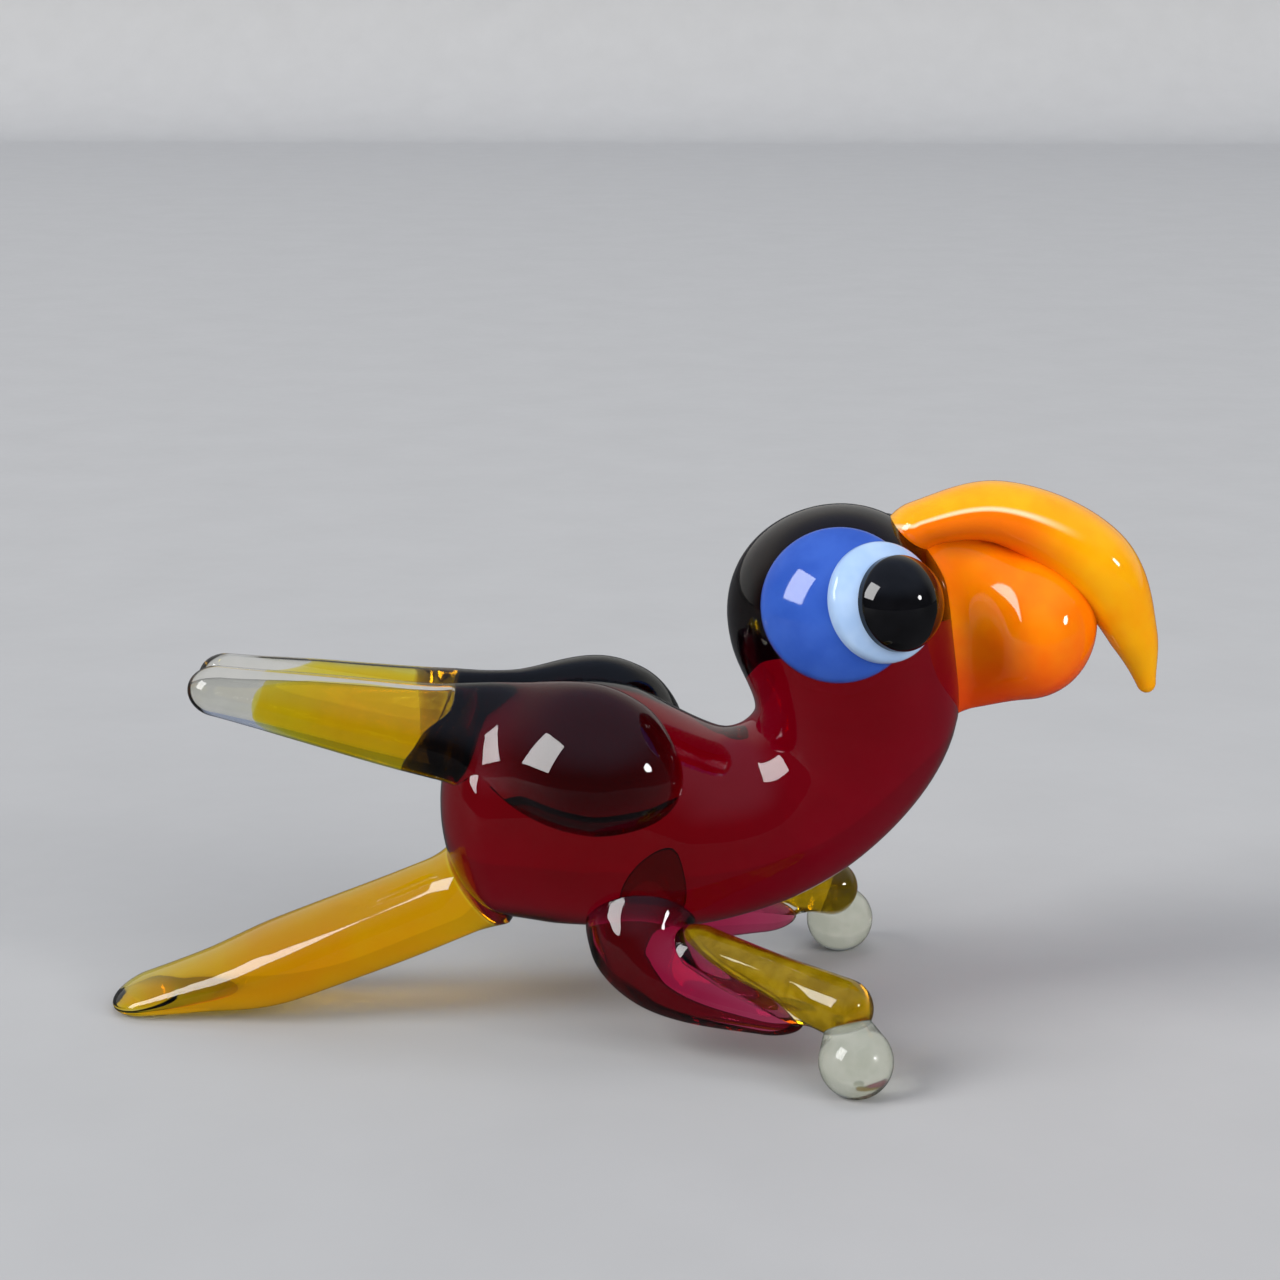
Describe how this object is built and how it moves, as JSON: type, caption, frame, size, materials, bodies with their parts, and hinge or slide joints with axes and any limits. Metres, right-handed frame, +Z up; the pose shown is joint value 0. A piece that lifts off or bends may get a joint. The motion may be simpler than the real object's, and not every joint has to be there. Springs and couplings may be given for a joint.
{
  "type": "glass parrot figurine",
  "caption": "Small lampworked glass parrot with ruby body and wings, cased yellow wing tips, tail and feet, orange hooked beak and melted dot eyes; a shelf ornament.",
  "frame": {"origin": "on the ground under the middle of the figure's box", "axes": "+Z up, +X toward the beak, +Y toward the bird's left"},
  "size_m": [0.047, 0.0208, 0.0248],
  "materials": {
    "ruby": "transparent, fire-polished gloss",
    "dark_ruby": "deep transparent, fire-polished gloss",
    "clear_casing": "clear, fire-polished gloss",
    "yellow_core": "transparent, smooth",
    "amber_casing": "clear with a warm cast, fire-polished gloss",
    "amber_core": "transparent, smooth",
    "olive_core": "transparent, mottled",
    "orange": "opaque, fire-polished gloss",
    "red_orange": "opaque, fire-polished gloss",
    "blue": "opaque, fire-polished gloss",
    "white": "opaque, fire-polished gloss",
    "black": "opaque, fire-polished gloss"
  },
  "bodies": {
    "root": {"body": "ruby", "right_thigh": "ruby", "left_thigh": "ruby", "right_wing": "dark_ruby", "left_wing": "dark_ruby", "right_wing_tip": "clear_casing", "left_wing_tip": "clear_casing", "right_foot": "clear_casing", "left_foot": "clear_casing", "right_wing_tip_core": "yellow_core", "left_wing_tip_core": "yellow_core", "tail": "amber_casing", "tail_core": "amber_core", "right_foot_core": "olive_core", "left_foot_core": "olive_core", "upper_beak": "orange", "lower_beak": "red_orange", "right_eye_patch": "blue", "left_eye_patch": "blue", "right_eye_white": "white", "left_eye_white": "white", "right_pupil": "black", "left_pupil": "black"}
  },
  "joints": []
}
